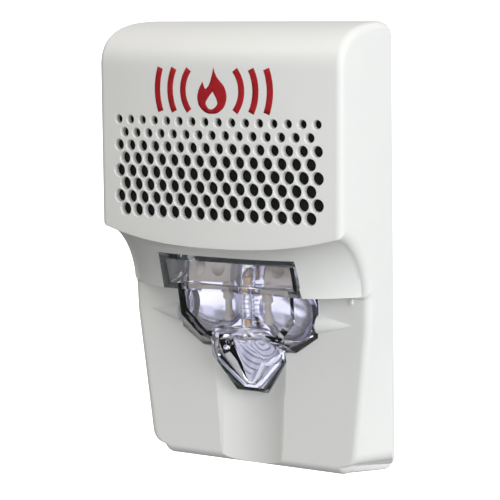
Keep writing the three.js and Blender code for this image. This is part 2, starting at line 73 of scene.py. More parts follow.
GRILLE_PITCH, GRILLE_TOP, GRILLE_ROWS, GRILLE_LONG_ROW = 3.73, 33.75, 8, 16
GRILLE_HOLES = (2.2, 2.4, 2.8, 3.1, 3.25)  # diameters in the rows from the top; the last one goes on
GRILLE_FLARE = 0.16
WINDOW_CLEARANCE = 0.15
COVER_FACETS, COVER_STEPS = 96, 26

# The printed marks: their middle as (x, z), their height and the width of a stroke.
MARK_CENTRE, MARK_HEIGHT, MARK_STROKE = (0.3, 41.5), 11.3, 1.65
FLAME_HEIGHT, FLAME_RISE = 1.62, 0.19  # the flame's own height, and its middle above its origin
PRINT_PROUD, PRINT_DEEP = 0.025, 0.06

# The lens: convex forms that overlap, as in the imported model.
LENS_BACK, LENS_WALL = -7.0, 1.6
TUBE_DEPTH, TUBE_TOP, TUBE_BOTTOM, TUBE_RADIUS = -13.5, -5.0, -23.0, 1.7
REFLECTOR_FRONT, REFLECTOR_GAP = -11.4, 0.3
BEAK_WALL, RIBS_INSET = 2.3, 2.6

# Light that comes from all round: its level, and how it grows along each direction.
WORLD_LEVEL = 0.5
WORLD_SLOPE = (0.3, 0.0, 0.28)


# ---------------------------------------------------------------- mesh helpers
def new_object(name, bm):
    mesh = bpy.data.meshes.new(name)
    bm.to_mesh(mesh)
    bm.free()
    obj = bpy.data.objects.new(name, mesh)
    bpy.context.scene.collection.objects.link(obj)
    shade(obj)
    return obj


def shade(obj, angle=30):
    obj.data.shade_smooth()
    obj.data.set_sharp_from_angle(angle=math.radians(angle))


def apply_modifiers(obj):
    depsgraph = bpy.context.evaluated_depsgraph_get()
    mesh = bpy.data.meshes.new_from_object(obj.evaluated_get(depsgraph))
    obj.modifiers.clear()
    old = obj.data
    obj.data = mesh
    bpy.data.meshes.remove(old)


def boolean(obj, tools, operation):
    """Joins or cuts obj with each tool, and removes the tools."""
    for tool in tools:
        modifier = obj.modifiers.new("boolean", "BOOLEAN")
        modifier.operation = operation
        modifier.solver = "MANIFOLD"
        modifier.object = tool
        apply_modifiers(obj)
        bpy.data.objects.remove(tool)
    return obj


def bevel(obj, width, segments=3, angle=30):
    modifier = obj.modifiers.new("bevel", "BEVEL")
    modifier.width = width * MM
    modifier.segments = segments
    modifier.limit_method = "ANGLE"
    modifier.angle_limit = math.radians(angle)
    modifier.harden_normals = False
    apply_modifiers(obj)
    return obj


def grid_bmesh(grids):
    """A closed surface from grids of points in millimetres, whose shared edges are merged."""
    bm = bmesh.new()
    for rows, flipped in grids:
        made = [[bm.verts.new(Vector(p) * MM) for p in row] for row in rows]
        for row, following in zip(made, made[1:]):
            for i in range(len(row) - 1):
                corners = [row[i], row[i + 1], following[i + 1], following[i]]
                bm.faces.new(corners[::-1] if flipped else corners)
    bmesh.ops.remove_doubles(bm, verts=bm.verts, dist=1e-7)
    bmesh.ops.dissolve_degenerate(bm, edges=bm.edges, dist=1e-7)
    return bm


def hull_object(name, points):
    bm = bmesh.new()
    for point in points:
        bm.verts.new(Vector(point) * MM)
    result = bmesh.ops.convex_hull(bm, input=bm.verts)
    unused = result["geom_interior"] + result["geom_unused"]
    spare = {item for item in unused if isinstance(item, bmesh.types.BMVert)}
    bmesh.ops.delete(bm, geom=list(spare), context="VERTS")
    bmesh.ops.dissolve_limit(bm, angle_limit=math.radians(1), verts=bm.verts, edges=bm.edges)
    bmesh.ops.recalc_face_normals(bm, faces=bm.faces)
    return new_object(name, bm)


def lathe(name, profile, place, axis="Y", segments=48):
    """A turned piece: profile points are (radius, distance along the axis) from the place given."""
    bm = bmesh.new()
    rings = []
    for radius, along in profile:
        ring = []
        for i in range(segments if radius else 1):
            angle = 2 * math.pi * i / segments
            u, v = radius * math.cos(angle), radius * math.sin(angle)
            offset = {"X": (along, u, v), "Y": (u, along, v), "Z": (u, v, along)}[axis]
            ring.append(bm.verts.new((Vector(place) + Vector(offset)) * MM))
        rings.append(ring)
    for first, second in zip(rings, rings[1:]):
        for i in range(segments):
            j = i + 1
            corners = [first[i % len(first)], first[j % len(first)]]
            corners += [second[j % len(second)], second[i % len(second)]]
            unique = list(dict.fromkeys(corners))
            if len(unique) > 2:
                bm.faces.new(unique)
    bmesh.ops.recalc_face_normals(bm, faces=bm.faces)
    return new_object(name, bm)


# ---------------------------------------------------------------- materials
def new_material(name, color, roughness, **sockets):
    material = bpy.data.materials.new(name)
    material.use_nodes = True
    shader = material.node_tree.nodes["Principled BSDF"]
    shader.inputs["Base Color"].default_value = (*color, 1)
    shader.inputs["Roughness"].default_value = roughness
    for key, value in sockets.items():
        shader.inputs[key.replace("_", " ")].default_value = value
    return material


def node_of(material, kind, **values):
    node = material.node_tree.nodes.new(kind)
    for key, value in values.items():
        node.inputs[key.replace("_", " ")].default_value = value
    return node


def link(material, source, target):
    material.node_tree.links.new(source, target)


def add_bump(material, layers):
    """Bump from object-space noise: each layer is (scale per metre, strength, height in mm)."""
    coordinates = node_of(material, "ShaderNodeTexCoord")
    normal = None
    for scale, strength, height in layers:
        noise = node_of(material, "ShaderNodeTexNoise", Scale=scale, Detail=3.0, Roughness=0.55)
        bump = node_of(material, "ShaderNodeBump", Strength=strength, Distance=height * MM)
        link(material, coordinates.outputs["Object"], noise.inputs["Vector"])
        link(material, noise.outputs["Fac"], bump.inputs["Height"])
        if normal:
            link(material, normal, bump.inputs["Normal"])
        normal = bump.outputs["Normal"]
    link(material, normal, material.node_tree.nodes["Principled BSDF"].inputs["Normal"])


def vary_color(material, scale, low, high):
    """Slow variation of the base colour between two tones."""
    coordinates = node_of(material, "ShaderNodeTexCoord")
    noise = node_of(material, "ShaderNodeTexNoise", Scale=scale, Detail=4.0, Roughness=0.6)
    ramp = node_of(material, "ShaderNodeValToRGB")
    ramp.color_ramp.elements[0].position = 0.35
    ramp.color_ramp.elements[0].color = (*low, 1)
    ramp.color_ramp.elements[1].position = 0.65
    ramp.color_ramp.elements[1].color = (*high, 1)
    link(material, coordinates.outputs["Object"], noise.inputs["Vector"])
    link(material, noise.outputs["Fac"], ramp.inputs["Fac"])
    link(material, ramp.outputs["Color"], material.node_tree.nodes["Principled BSDF"].inputs["Base Color"])


def vary_roughness(material, scale, low, high):
    coordinates = node_of(material, "ShaderNodeTexCoord")
    noise = node_of(material, "ShaderNodeTexNoise", Scale=scale, Detail=3.0)
    spread = node_of(material, "ShaderNodeMapRange", From_Min=0.3, From_Max=0.7, To_Min=low, To_Max=high)
    link(material, coordinates.outputs["Object"], noise.inputs["Vector"])
    link(material, noise.outputs["Fac"], spread.inputs["Value"])
    link(material, spread.outputs["Result"], material.node_tree.nodes["Principled BSDF"].inputs["Roughness"])


def white_moulding(name="white_moulding"):
    material = new_material(name, (0.8, 0.8, 0.785), 0.42, Coat_Weight=0.05, Coat_Roughness=0.35)
    vary_color(material, 60, (0.795, 0.795, 0.78), (0.81, 0.808, 0.79))
    add_bump(material, [(2600, 0.10, 0.02), (9000, 0.08, 0.01)])
    return material


def clear_material(name, color, ior):
    """Clear plastic or glass with a very slight waviness."""
    material = new_material(name, color, 0.01, Transmission_Weight=1.0, IOR=ior)
    add_bump(material, [(220, 0.04, 0.08)])
    return material


def bright_metallised():
    material = new_material("bright_metallised", (0.66, 0.66, 0.78), 0.16, Metallic=1.0)
    vary_roughness(material, 300, 0.12, 0.22)
    add_bump(material, [(900, 0.05, 0.05)])
    return material


def plain_material(name, color, roughness, **sockets):
    """A slightly uneven tone, gloss and surface round the stated colour and roughness."""
    material = new_material(name, color, roughness, **sockets)
    vary_color(material, 350, [0.9 * c for c in color], [1.06 * c for c in color])
    vary_roughness(material, 500, roughness * 0.85, min(1.0, roughness * 1.15))
    add_bump(material, [(3000, 0.1, 0.02)])
    return material


# ---------------------------------------------------------------- front cover
def corner_inset(distance, radius):
    """How far a rounded corner draws a side in, at a distance from the end of that side."""
    if distance >= radius:
        return 0.0
    return radius - math.sqrt(max(0.0, radius**2 - (radius - distance) ** 2))


def front_half_width(depth, z):
    """Half the width at a depth and height: an even draft, then the taper of the lower face."""
    draft = SIDE_DRAFT * (depth + COVER_BACK) / (DEPTH - CROWN + COVER_BACK)
    blend = min(1.0, max(0.0, (TAPER_TOP - z) / (TAPER_TOP - TAPER_START)))
    draft += (SIDE_DRAFT - draft) * blend * blend * (3 - 2 * blend)
    taper = TAPER * max(0.0, TAPER_START - z)
    return HALF_W - draft - taper - corner_inset(max(0.0, z - FACE_BOTTOM), CORNER)


def back_half_width(z):
    return HALF_W - corner_inset(HALF_H - abs(z), CORNER)


def rounded(points, radius, steps=5):
    """An open outline whose marked corners become arcs: points are (y, z, rounded or not)."""
    made = []
    for i, (y, z, corner) in enumerate(points):
        here = Vector((y, z))
        if not corner:
            made.append((y, z))
            continue
        before = Vector(points[i - 1][:2]) - here
        after = Vector(points[i + 1][:2]) - here
        reach = min(radius, 0.45 * before.length, 0.45 * after.length)
        start = here + before.normalized() * reach
        end = here + after.normalized() * reach
        for k in range(steps + 1):
            t = k / steps
            bend = start * (1 - t) ** 2 + here * 2 * t * (1 - t) + end * t**2
            made.append((bend.x, bend.y))
    return made


def cover_profile(share, steps, inset, back=COVER_BACK):
    """Side profile from the top of the back edge round the front to the bottom, as (y, z)."""
    crown = DEPTH - CROWN * share * share
    front = crown - inset
    brow = BROW_MIDDLE + BROW_RISE * abs(share) ** 2.5 + inset
    shelf = SHELF + inset
    lip = LIP_SIDE + LIP_BULGE * (1 - abs(share) ** LIP_POWER)
    round_start = HALF_H - TOP_ROUND_HEIGHT
    upper = front - FRONT_LEAN * (round_start - brow)
    points = [(back, HALF_H - inset, False)]
    for i in range(steps + 1):
        angle = i / steps * math.pi / 2
        out = TOP_ROUND_BACK + (upper - TOP_ROUND_BACK) * math.sin(angle) ** (2 / TOP_POWER)
        up = round_start + (TOP_ROUND_HEIGHT - inset) * math.cos(angle) ** (2 / TOP_POWER)
        points.append((-out, up, False))
    for i in range(1, steps):
        t = i / steps
        points.append((-(upper + (front - upper) * t), round_start + (brow - round_start) * t, False))
    for i in range(steps + 1):
        angle = i / steps * math.pi / 2
        out = front - (crown - lip) * math.sin(angle) ** (2 / COVE_POWER)
        up = shelf + (brow - shelf) * math.cos(angle) ** (2 / COVE_POWER)
        points.append((-out, up, i == 0))
    lip_front = lip - inset
    face = FACE_DEPTH - inset
    bottom = FACE_BOTTOM + inset
    underside = shelf - SHELF_DRAFT
    points.append((-lip_front, shelf - LIP_HEIGHT, False))
    points.append((-lip_front + LIP_HEIGHT, shelf - LIP_HEIGHT - LIP_CHAMFER, False))
    points.append((-face - FACE_FILLET, underside, False))
    points.append((-face, underside - FACE_FILLET, False))
    points.append((-face, shelf - 3, False))
    for i in range(steps + 1):
        t = i / steps
        points.append((-face, TAPER_START + (bottom + CORNER - TAPER_START) * t, False))
    for i in range(1, steps // 2 + 1):
        angle = i / (steps // 2) * math.pi / 2
        points.append((-face, bottom + CORNER * (1 - math.sin(angle)), False))
    for i in range(1, steps // 2 + 1):
        angle = i / (steps // 2) * math.pi / 2
        out = BAND_BACK - inset + (FACE_DEPTH - BAND_BACK) * math.cos(angle)
        points.append((-out, bottom - (HALF_H + FACE_BOTTOM) * math.sin(angle), False))
    points.append((back, inset - HALF_H, False))
    return rounded(points, BROW_RADIUS)


def cover_columns(facets, steps, inset, edge, back):
    """Columns of points over the front, from left to right, with rounded side edges."""
    edge_steps = 8 if edge else 0
    turns = [k / edge_steps * math.pi / 2 for k in range(1, edge_steps + 1)]
    stations = [(-1, turn) for turn in turns[::-1]]
    stations += [(2 * i / facets - 1, 0.0) for i in range(facets + 1)]
    stations += [(1, turn) for turn in turns]
    columns = []
    for share, turn in stations:
        column = []
        for y, z in cover_profile(share, steps, inset + edge * (1 - math.cos(turn)), back):
            if y == back:
                column.append((share * (back_half_width(z) - inset), y, z))
            else:
                half = front_half_width(-y, z) - inset
                column.append((share * (half - edge * (1 - math.sin(turn))), y, z))
        columns.append(column)
    return columns


def cover_body(name, facets, steps, inset, edge, back=COVER_BACK):
    """A closed solid: the front columns, the sides that run back to the rim, and a flat back."""
    front = cover_columns(facets, steps, inset, edge, back)
    heights = [z for _, z in cover_profile(1, steps, inset + edge, back)]
    half_widths = [back_half_width(z) - inset for z in heights]
    rims = [[(side * half, back, z) for half, z in zip(half_widths, heights)] for side in (-1, 1)]
    columns = [rims[0], *front, rims[1]]
    flat = []
    for column in columns:
        share = column[0][0] / half_widths[0]
        middle = [(share * half, back, z) for half, z in zip(half_widths, heights)]
        flat.append([column[0], *middle[1:-1], column[-1]])
    bm = grid_bmesh([(columns, False), (flat, True)])
    bmesh.ops.recalc_face_normals(bm, faces=bm.faces)
    return new_object(name, bm)


def channel_form(name, extra):
    """The round form that hollows out the channel down the lower face."""
    radius = CHANNEL_RADIUS + extra
    bm = bmesh.new()
    bmesh.ops.create_cone(
        bm, cap_ends=True, segments=360, radius1=radius * MM, radius2=radius * MM, depth=45 * MM
    )
    bmesh.ops.translate(bm, verts=bm.verts, vec=(0, 0, -7.5 * MM))
    bmesh.ops.rotate(bm, verts=bm.verts, matrix=Matrix.Rotation(-CHANNEL_TILT, 3, "X"))
    place = Vector((0, CHANNEL_DEPTH - FACE_DEPTH - CHANNEL_RADIUS, CHANNEL_Z)) * MM
    bmesh.ops.translate(bm, verts=bm.verts, vec=place)
    return new_object(name, bm)


def fairing(name, side):
    """A pointed fairing that runs from the side of the lens out to the edge of the lower face."""
    root_x, proud, half_height, steps = 18, 2.6, 2.9, 20
    points = []
    for i in range(steps + 1):
        angle = math.pi * i / steps
        up = FAIRING_Z + half_height * math.cos(angle)
        points.append((side * root_x, -FACE_DEPTH - proud * math.sin(angle), up))
    points += [(side * root_x, 1 - FACE_DEPTH, FAIRING_Z + rise) for rise in (-half_height, half_height)]
    points += [(side * 29.5, -FACE_DEPTH, FAIRING_Z + 0.3), (side * 29, 1 - FACE_DEPTH, FAIRING_Z)]
    return hull_object(name, points)


def front_surface(x, z):
    """Depth of the upper front at a place, as y in millimetres."""
    share = x / (front_half_width(DEPTH - CROWN, z) - EDGE_RADIUS)
    brow = BROW_MIDDLE + BROW_RISE * abs(share) ** 2.5
    return -(DEPTH - CROWN * share * share - FRONT_LEAN * (z - brow))


def grille_tools(name):
    """All the holes of the grille as one mesh, each with a small flare that follows the front."""
    segments, through = 40, 8
    flare = GRILLE_FLARE
    levels = [(2 * flare, flare), (flare, 0.0), (0.3 * flare, -0.7 * flare), (0, -1.6 * flare), (0, -through)]
    bm = bmesh.new()
    for row in range(GRILLE_ROWS):
        count = GRILLE_LONG_ROW - row % 2
        radius = GRILLE_HOLES[min(row, len(GRILLE_HOLES) - 1)] / 2
        z = GRILLE_TOP - row * GRILLE_PITCH * math.sin(math.pi / 3)
        for i in range(count):
            x = (i - (count - 1) / 2) * GRILLE_PITCH
            rings = []
            for grow, proud in levels:
                ring = []
                for k in range(segments):
                    angle = 2 * math.pi * k / segments
                    px = x + (radius + grow) * math.cos(angle)
                    pz = z + (radius + grow) * math.sin(angle)
                    ring.append(bm.verts.new(Vector((px, front_surface(px, pz) - proud, pz)) * MM))
                rings.append(ring)
            for first, second in zip(rings, rings[1:]):
                for k in range(segments):
                    j = (k + 1) % segments
                    bm.faces.new((first[k], first[j], second[j], second[k]))
            bm.faces.new(rings[0])
            bm.faces.new(rings[-1][::-1])
    bmesh.ops.recalc_face_normals(bm, faces=bm.faces)
    return new_object(name, bm)


def swept_outline(name, points, clearance, y0, y1, turns=24):
    """The front outline of some points, widened by the clearance and run from y0 to y1."""
    corners = []
    for x, _, z in points:
        for k in range(turns):
            angle = 2 * math.pi * k / turns
            corners.append((x + clearance * math.cos(angle), z + clearance * math.sin(angle)))
    return hull_object(name, [(x, y, z) for x, z in corners for y in (y0, y1)])


def mirrored(points):
    """The points and their mirror images across the middle plane."""
    return points + [(-x, y, z) for x, y, z in points]


def lens_forms():
    """The upper block, the lobe on each side and the beak, each as the corners of a convex form."""
    block = mirrored([
        (19.3, LENS_BACK, -0.3), (19.3, LENS_BACK, -9.7),
        (19.3, -25.2, -0.3), (19.3, -22.9, -9.7),
    ])
    right = [
        (0, LENS_BACK, -4), (18.2, LENS_BACK, -4), (20, LENS_BACK, -11.5), (20, LENS_BACK, -15.5),
        (19.7, LENS_BACK, -21.5), (13.6, LENS_BACK, -25.8), (0, LENS_BACK, -27),
        (18.2, -13.4, -4), (20, -13.4, -11.5), (20, -13.4, -15.5), (19.7, -13.4, -21.5), (13.6, -13.4, -25.8),
        (0, -21.6, -4), (16.8, -20.4, -4), (16.8, -20.4, -9.7),
        (16.5, -19.4, -17), (11.5, -18.2, -22.5), (0, -19.5, -22),
    ]
    left = [(-x, y, z) for x, y, z in right]
    beak = mirrored([
        (8.6, LENS_BACK, -19), (10.6, LENS_BACK, -28.5), (4.2, LENS_BACK, -37.6),
        (10.6, -14, -28.5), (4.2, -12, -37.6),
        (8.6, -18.6, -20), (3, -23.2, -19), (7.2, -17.6, -29), (3, -14.8, -36.6),
    ])
    return [block, right, left, beak]


def inset_form(form, inset):
    """A form with its sides and front drawn in, run out through the open back."""
    heights = [z for _, _, z in form]
    middle = (min(heights) + max(heights)) / 2
    made = []
    for x, y, z in form:
        depth = LENS_BACK + 1 if y == LENS_BACK else min(y + inset, LENS_BACK - 1)
        across = math.copysign(max(0.0, abs(x) - inset), x)
        made.append((across, depth, z + math.copysign(inset, middle - z)))
    return made


def build_cover():
    """The moulding with its fairings, channel, tab, hollow back, grille and lens window."""
    cover = cover_body("cover_moulding", COVER_FACETS, COVER_STEPS, 0.0, EDGE_RADIUS)
    boolean(cover, [fairing("fairing_left", -1), fairing("fairing_right", 1)], "UNION")
    boolean(cover, [channel_form("channel", 0.0)], "DIFFERENCE")
    tab_depth, tab_height = (-FACE_DEPTH - 0.5, 0.5 - FACE_DEPTH), (-12.2, SHELF - SHELF_DRAFT - 0.2)
    tab = box_object("tab", (29.1, 29.7), tab_depth, tab_height)
    boolean(cover, [tab], "UNION")
    hollow = cover_body("cover_hollow", 24, 10, WALL, 0.0, 1.0)
    boolean(hollow, [channel_form("channel_inside", WALL)], "DIFFERENCE")
    windows = [
        swept_outline("window", form, WINDOW_CLEARANCE, -DEPTH - 1, 0) for form in lens_forms()
    ]
    boolean(cover, [hollow, grille_tools("holes"), *windows], "DIFFERENCE")
    shade(cover, 32)
    return cover


# ---------------------------------------------------------------- marks on the front
def prism(bm, outline):
    """A closed slab across the front wall with the given outline of (x, z) points."""
    front = [bm.verts.new(Vector((x, -DEPTH - 1, z)) * MM) for x, z in outline]
    back = [bm.verts.new(Vector((x, -DEPTH + 6, z)) * MM) for x, z in outline]
    bm.faces.new(front)
    bm.faces.new(back[::-1])
    for i in range(len(outline)):
        j = (i + 1) % len(outline)
        bm.faces.new((front[i], back[i], back[j], front[j]))


def prisms(name, outlines):
    bm = bmesh.new()
    for outline in outlines:
        prism(bm, outline)
    bmesh.ops.recalc_face_normals(bm, faces=bm.faces)
    return new_object(name, bm)


def print_layer(name, outlines, holes):
    """A thin printed layer: flat outlines, less their holes, cut to a shell that follows the cover."""
    mark = prisms(name, outlines)
    boolean(mark, [prisms("print_holes", holes)], "DIFFERENCE")
    for operation, inset in (("INTERSECT", -PRINT_PROUD), ("DIFFERENCE", PRINT_DEEP)):
        shell = cover_body("print_shell", COVER_FACETS, COVER_STEPS, inset, EDGE_RADIUS)
        boolean(mark, [shell], operation)
    return mark


def closed_curve(points, scale, centre, sharp, steps=8):
    """A closed Catmull-Rom curve through points, which keeps a corner at the sharp ones."""
    made = []
    count = len(points)
    for i in range(count):
        p1, p2 = Vector(points[i]), Vector(points[(i + 1) % count])
        p0 = p1 if i in sharp else Vector(points[i - 1])
        p3 = p2 if (i + 1) % count in sharp else Vector(points[(i + 2) % count])
        for k in range(steps):
            t = k / steps
            linear = 2 * p1 + (p2 - p0) * t
            bend = (2 * p0 - 5 * p1 + 4 * p2 - p3) * t**2 + (3 * p1 - p0 - 3 * p2 + p3) * t**3
            here = (linear + bend) / 2
            made.append((centre[0] + scale * here.x, centre[1] + scale * here.y))
    return made


def flame_outline(scale, centre):
    points = [
        (0.08, 1.0), (0.22, 0.66), (0.50, 0.34), (0.60, -0.02), (0.50, -0.36), (0.26, -0.57), (0.0, -0.62),
        (-0.26, -0.57), (-0.50, -0.36), (-0.58, -0.04), (-0.50, 0.26), (-0.36, 0.50), (-0.26, 0.26),
        (-0.12, 0.36), (0.0, 0.66),
    ]
    return closed_curve(points, scale, centre, {0, 11})


def flame_heart(scale, centre):
    points = [
        (0.04, 0.16), (0.18, -0.08), (0.22, -0.28), (0.06, -0.44), (-0.12, -0.44), (-0.24, -0.26),
        (-0.14, -0.06),
    ]
    return closed_curve(points, scale, centre, {0})


def sound_arc(centre, radius, width, half_angle, side, steps=24):
    """A band of a circle that opens away from the centre, with square ends."""
    angles = [half_angle * (2 * i / steps - 1) for i in range(steps + 1)]

    def edge(reach):
        return [
            (centre[0] + side * reach * math.cos(a), centre[1] + reach * math.sin(a)) for a in angles
        ]

    return edge(radius + width / 2) + edge(radius - width / 2)[::-1]


def build_marks():
    """A plain flame with three sound arcs to each side of it."""
    scale = MARK_HEIGHT / FLAME_HEIGHT
    centre = (MARK_CENTRE[0], MARK_CENTRE[1] - FLAME_RISE * scale)
    outlines = [flame_outline(scale, centre)]
    for side in (-1, 1):
        for radius in (8.2, 12.0, 15.8):
            half_angle = math.asin(min(0.5 * MARK_HEIGHT / (radius + MARK_STROKE / 2), 0.62))
            outlines.append(sound_arc(MARK_CENTRE, radius, MARK_STROKE, half_angle, side))
    return print_layer("front_marks", outlines, [flame_heart(scale, centre)])


# ---------------------------------------------------------------- lens, reflector, tube
def beak_hollow(name, form):
    """The inside of the beak: its outside drawn in, with well rounded edges."""
    hollow = hull_object(name, inset_form(form, BEAK_WALL))
    bevel(hollow, 1.6, segments=8, angle=10)
    return hollow


def build_lens():
    """The clear moulding: its forms joined, with a flange behind and hollows inside."""
    forms = lens_forms()
    lens = hull_object("lens_moulding", forms[0])
    boolean(lens, [hull_object("lens_form", form) for form in forms[1:]], "UNION")
    bevel(lens, 0.35, segments=3, angle=18)
    flange_low, flange_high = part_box("lens")
    flange = [
        (x, y, z)
        for x in (flange_low.x / MM, flange_high.x / MM)
        for y in (LENS_BACK - 1.2, LENS_BACK)
        for z in (flange_low.z / MM, flange_high.z / MM)
    ]
    boolean(lens, [hull_object("lens_flange", flange)], "UNION")
    hollows = [hull_object("lens_inside", inset_form(form, LENS_WALL)) for form in forms[:3]]
    boolean(lens, [*hollows, beak_hollow("beak_inside", forms[3])], "DIFFERENCE")
    shade(lens, 30)
    return lens


def ellipsoid(name, centre, radii):
    bm = bmesh.new()
    bmesh.ops.create_uvsphere(bm, u_segments=64, v_segments=32, radius=1)
    for vert in bm.verts:
        vert.co = Vector([(c + r * v) * MM for c, r, v in zip(centre, radii, vert.co)])
    return new_object(name, bm)


def box_object(name, x, y, z):
    return hull_object(name, [(a, b, c) for a in x for b in y for c in z])


def build_reflector():
    """A metallised tray with a bowl to each side of the tube and slots through it."""
    forms = [inset_form(form, LENS_WALL + REFLECTOR_GAP) for form in lens_forms()]
    tray = hull_object("reflector_tray", forms[0])
    boolean(tray, [hull_object("tray_form", form) for form in forms[1:]], "UNION")
    depth = (REFLECTOR_FRONT, LENS_BACK + REFLECTOR_GAP)
    boolean(tray, [box_object("tray_depth", (-HALF_W, HALF_W), depth, (-HALF_H, HALF_H))], "INTERSECT")
    bowls = [((side * 10.2, REFLECTOR_FRONT - 0.4, -15.2), (8.0, 4.4, 8.0)) for side in (-1, 1)]
    boolean(tray, [ellipsoid("bowl", *bowl) for bowl in bowls], "DIFFERENCE")
    slots = [((2.6, 4.0), (-9.2, -2.2)), ((-17.4, -16.3), (-21, -10.5)), ((16.0, 17.4), (-21, -13.5))]
    boolean(tray, [box_object("slot", across, (-20, 0), up) for across, up in slots], "DIFFERENCE")
    bevel(tray, 0.15, segments=2, angle=35)
    shade(tray)
    return tray


def beak_ribs():
    """A satin dish behind the beak, with steps in rings round its upper right."""
    back, step, pitch, slant, rings = REFLECTOR_FRONT - 0.05, 0.3, 1.4, 0.2, 10
    profile = [(0, back - step)]
    for i in range(1, rings):
        profile += [(pitch * i - slant, back - step * i), (pitch * i + slant, back - step * (i + 1))]
    profile += [(pitch * rings, back), (0, back)]
    dish = lathe("beak_ribs", profile, (3, 0, -23.5), "Y", 96)
    boolean(dish, [hull_object("beak_limit", inset_form(lens_forms()[3], RIBS_INSET))], "INTERSECT")
    shade(dish)
    return dish


def tube_holder(side):
    """A cream moulded block and post to one side of the flash tube."""
    near, far = side * 4.6, side * 16.0
    name = "tube_holder_left" if side < 0 else "tube_holder_right"
    block = box_object(name, (near, far), (-14.0, REFLECTOR_FRONT + 0.1), (-9.2, -2.6))
    for x, z in ((8.0, -6.6), (12.4, -4.6)):
        boolean(block, [ellipsoid("dimple", (side * x, -14.6, z), (1.9, 1.5, 1.6))], "DIFFERENCE")
    post = [
        (0, -19.5), (0.9, -19.5), (1.3, -18.9), (1.3, -17.2), (0.9, -16.6),
        (0.9, -13.2), (1.4, -12.6), (1.4, -9), (0, -9),
    ]
    boolean(block, [lathe("post", post, (side * 5.6, -12.9, 0), "Z", 32)], "UNION")
    boolean(block, [ellipsoid("boss", (side * 12.8, -13.9, -6.8), (1.3, 1.0, 1.3))], "UNION")
    bevel(block, 0.25, segments=3, angle=40)
    shade(block, 35)
    return block


def electrodes():
    """The two electrodes inside the flash tube: a cap at the inner end of a thin stem."""
    cap, edge, cap_radius, stem_radius = 1.6, 0.2, 0.85, 0.4
    ends = [
        ("electrode_upper", TUBE_TOP - 4.6, TUBE_TOP - 1.2, 1),
        ("electrode_lower", TUBE_BOTTOM + 4.6, TUBE_BOTTOM + 1.2, -1),
    ]
    made = []
    for name, inner, outer, way in ends:
        profile = [
            (0, inner), (cap_radius - 0.1, inner), (cap_radius, inner + way * edge),
            (cap_radius, inner + way * cap), (stem_radius, inner + way * cap * 1.1),
            (stem_radius, outer), (0, outer),
        ]
        made.append(lathe(name, profile, (0, TUBE_DEPTH, 0), "Z", 24))
    return made


def trigger_wire(turns=7, steps=24):
    """Fine wire wound openly round the flash tube."""
    curve = bpy.data.curves.new("trigger_wire", "CURVE")
    curve.dimensions = "3D"
    curve.bevel_depth = 0.12 * MM
    curve.bevel_resolution = 3
    spline = curve.splines.new("POLY")
    count = turns * steps
    spline.points.add(count)
    z0, z1 = TUBE_BOTTOM + 4, TUBE_TOP - 4
    radius = TUBE_RADIUS + 0.14
    for i, point in enumerate(spline.points):
        angle = 2 * math.pi * i / steps
        z = z0 + (z1 - z0) * i / count
        at = Vector((radius * math.cos(angle), TUBE_DEPTH + radius * math.sin(angle), z)) * MM
        point.co = (*at, 1)
    obj = bpy.data.objects.new("trigger_wire", curve)
    bpy.context.scene.collection.objects.link(obj)
    return obj


def capsule(name, radius, z0, z1, y, steps=10):
    """A turned rod along Z with round ends."""
    turns = [i * math.pi / 2 / steps for i in range(steps)]
    ends = [(radius * math.cos(turn), radius * math.sin(turn)) for turn in turns]
    top = [(r, z1 - radius + up) for r, up in ends]
    bottom = [(r, z0 + radius - up) for r, up in ends]
    return lathe(name, [(0, z0), *bottom[::-1], *top, (0, z1)], (0, y, 0), "Z")


def build_tube():
    wall, end, bore_end = 0.5, 1.4, 2.0
    tube = capsule("tube_glass", TUBE_RADIUS, TUBE_BOTTOM + end, TUBE_TOP - end, TUBE_DEPTH)
    bore_ends = (TUBE_BOTTOM + bore_end, TUBE_TOP - bore_end)
    bore = capsule("tube_bore", TUBE_RADIUS - wall, *bore_ends, TUBE_DEPTH)
    boolean(tube, [bore], "DIFFERENCE")
    return tube


# ---------------------------------------------------------------- assembly
def paint(obj, material):
    """The material alone, in the object's first slot."""
    obj.data.materials.clear()
    obj.data.materials.append(material)


def finish_piece(obj, material, body, nodes=()):
    """Material, the body it rides on and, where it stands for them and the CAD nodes."""
    paint(obj, material)
    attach(obj, body)
    if nodes:
        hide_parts(*nodes)


def repaint_node(name, material):
    """A CAD node that stays: fine edges from modifiers, and one material on all its slots."""
    obj = NODES[name]
    weld = obj.modifiers.new("weld", "WELD")
    weld.merge_threshold = 0.001 * MM
    edges = obj.modifiers.new("edges", "BEVEL")
    edges.width = 0.12 * MM
    edges.segments = 2
    edges.limit_method = "ANGLE"
    edges.angle_limit = math.radians(40)
    if not obj.material_slots:
        obj.data.materials.append(material)
    for place in obj.material_slots:
        place.material = material


